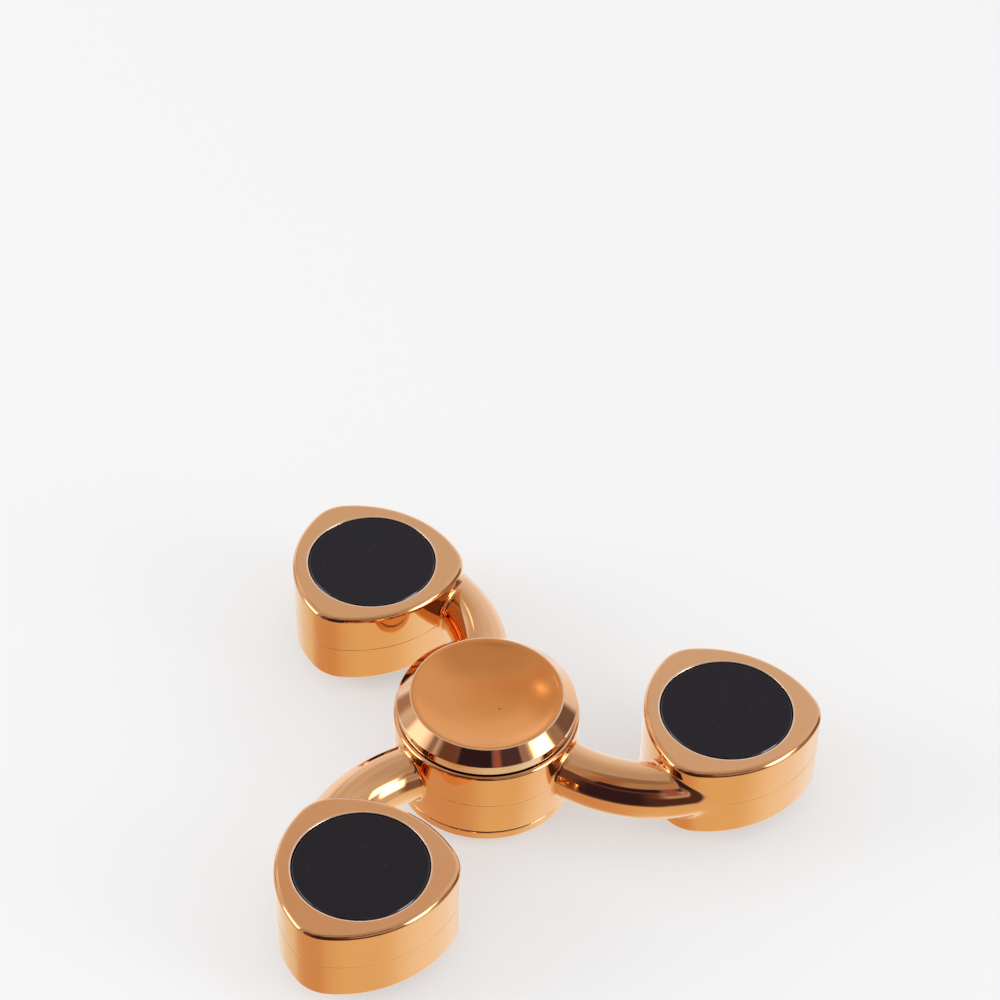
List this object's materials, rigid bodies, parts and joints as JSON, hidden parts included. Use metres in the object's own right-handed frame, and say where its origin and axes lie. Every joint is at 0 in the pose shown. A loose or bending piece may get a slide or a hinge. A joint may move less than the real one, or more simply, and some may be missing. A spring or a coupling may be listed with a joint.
{
  "type": "fidget spinner",
  "caption": "Three-armed hand spinner: bent round arms carry rounded three-cornered pods with black discs, spinning on a ball bearing between two dished finger caps.",
  "frame": {"origin": "on the spin axis at mid-height of the hub, which is the centre of mass", "axes": "+Z along the spin axis towards the upper finger cap, +X from the spin axis through the centre of pod a; pods b and c follow anticlockwise seen from above"},
  "size_m": [0.0539, 0.0594, 0.013],
  "materials": {
    "rose_gold_plating": "die-cast zinc alloy, polished and rose-gold plated to a mirror, faint parting line at mid-height",
    "satin_gold_cap": "turned cap: satin dish with fine grain, polished rim, slanted ring and band",
    "black_disc": "satin black face with a glossy bevelled edge",
    "weight_steel": "turned steel slug, hidden",
    "bearing_steel": "ground bearing steel, hidden",
    "shield_steel": "pressed thin steel, hidden",
    "cage_nylon": "moulded nylon crown cage, hidden"
  },
  "bodies": {
    "finger_caps": {"upper_finger_cap": "satin_gold_cap", "lower_finger_cap": "satin_gold_cap", "bearing_inner_race": "bearing_steel"},
    "rotor": {"tri_arm_frame": "rose_gold_plating", "bearing_outer_race": "bearing_steel", "upper_bearing_shield": "shield_steel", "lower_bearing_shield": "shield_steel", "upper_shield_clip": "bearing_steel", "lower_shield_clip": "bearing_steel", "pod_a_upper_disc": "black_disc", "pod_a_lower_disc": "black_disc", "pod_a_weight": "weight_steel", "pod_b_upper_disc": "black_disc", "pod_b_lower_disc": "black_disc", "pod_b_weight": "weight_steel", "pod_c_upper_disc": "black_disc", "pod_c_lower_disc": "black_disc", "pod_c_weight": "weight_steel"},
    "ball_cage": {"bearing_cage": "cage_nylon"},
    "ball_01": {"bearing_ball_01": "bearing_steel"},
    "ball_02": {"bearing_ball_02": "bearing_steel"},
    "ball_03": {"bearing_ball_03": "bearing_steel"},
    "ball_04": {"bearing_ball_04": "bearing_steel"},
    "ball_05": {"bearing_ball_05": "bearing_steel"},
    "ball_06": {"bearing_ball_06": "bearing_steel"},
    "ball_07": {"bearing_ball_07": "bearing_steel"},
    "ball_08": {"bearing_ball_08": "bearing_steel"},
    "ball_09": {"bearing_ball_09": "bearing_steel"},
    "ball_10": {"bearing_ball_10": "bearing_steel"}
  },
  "joints": [
    {"name": "rotor_spin", "type": "hinge", "parent": "finger_caps", "child": "rotor", "pos_m": [0, 0, 0], "axis": [0, 0, 1], "continuous": true},
    {"name": "cage_orbit", "type": "hinge", "parent": "finger_caps", "child": "ball_cage", "pos_m": [0, 0, 0], "axis": [0, 0, 1], "continuous": true},
    {"name": "ball_01_roll", "type": "hinge", "parent": "ball_cage", "child": "ball_01", "pos_m": [0.00476, 0, 0], "axis": [0, 0, 1], "continuous": true},
    {"name": "ball_02_roll", "type": "hinge", "parent": "ball_cage", "child": "ball_02", "pos_m": [0.00385, 0.0028, 0], "axis": [0, 0, 1], "continuous": true},
    {"name": "ball_03_roll", "type": "hinge", "parent": "ball_cage", "child": "ball_03", "pos_m": [0.00147, 0.00453, 0], "axis": [0, 0, 1], "continuous": true},
    {"name": "ball_04_roll", "type": "hinge", "parent": "ball_cage", "child": "ball_04", "pos_m": [-0.00147, 0.00453, 0], "axis": [0, 0, 1], "continuous": true},
    {"name": "ball_05_roll", "type": "hinge", "parent": "ball_cage", "child": "ball_05", "pos_m": [-0.00385, 0.0028, 0], "axis": [0, 0, 1], "continuous": true},
    {"name": "ball_06_roll", "type": "hinge", "parent": "ball_cage", "child": "ball_06", "pos_m": [-0.00476, 0, 0], "axis": [0, 0, 1], "continuous": true},
    {"name": "ball_07_roll", "type": "hinge", "parent": "ball_cage", "child": "ball_07", "pos_m": [-0.00385, -0.0028, 0], "axis": [0, 0, 1], "continuous": true},
    {"name": "ball_08_roll", "type": "hinge", "parent": "ball_cage", "child": "ball_08", "pos_m": [-0.00147, -0.00453, 0], "axis": [0, 0, 1], "continuous": true},
    {"name": "ball_09_roll", "type": "hinge", "parent": "ball_cage", "child": "ball_09", "pos_m": [0.00147, -0.00453, 0], "axis": [0, 0, 1], "continuous": true},
    {"name": "ball_10_roll", "type": "hinge", "parent": "ball_cage", "child": "ball_10", "pos_m": [0.00385, -0.0028, 0], "axis": [0, 0, 1], "continuous": true}
  ],
  "couplings": [
    {"joint": "cage_orbit", "follows": "rotor_spin", "ratio": 0.58336},
    {"joint": "ball_01_roll", "follows": "rotor_spin", "ratio": 2.9157},
    {"joint": "ball_02_roll", "follows": "rotor_spin", "ratio": 2.9157},
    {"joint": "ball_03_roll", "follows": "rotor_spin", "ratio": 2.9157},
    {"joint": "ball_04_roll", "follows": "rotor_spin", "ratio": 2.9157},
    {"joint": "ball_05_roll", "follows": "rotor_spin", "ratio": 2.9157},
    {"joint": "ball_06_roll", "follows": "rotor_spin", "ratio": 2.9157},
    {"joint": "ball_07_roll", "follows": "rotor_spin", "ratio": 2.9157},
    {"joint": "ball_08_roll", "follows": "rotor_spin", "ratio": 2.9157},
    {"joint": "ball_09_roll", "follows": "rotor_spin", "ratio": 2.9157},
    {"joint": "ball_10_roll", "follows": "rotor_spin", "ratio": 2.9157}
  ]
}
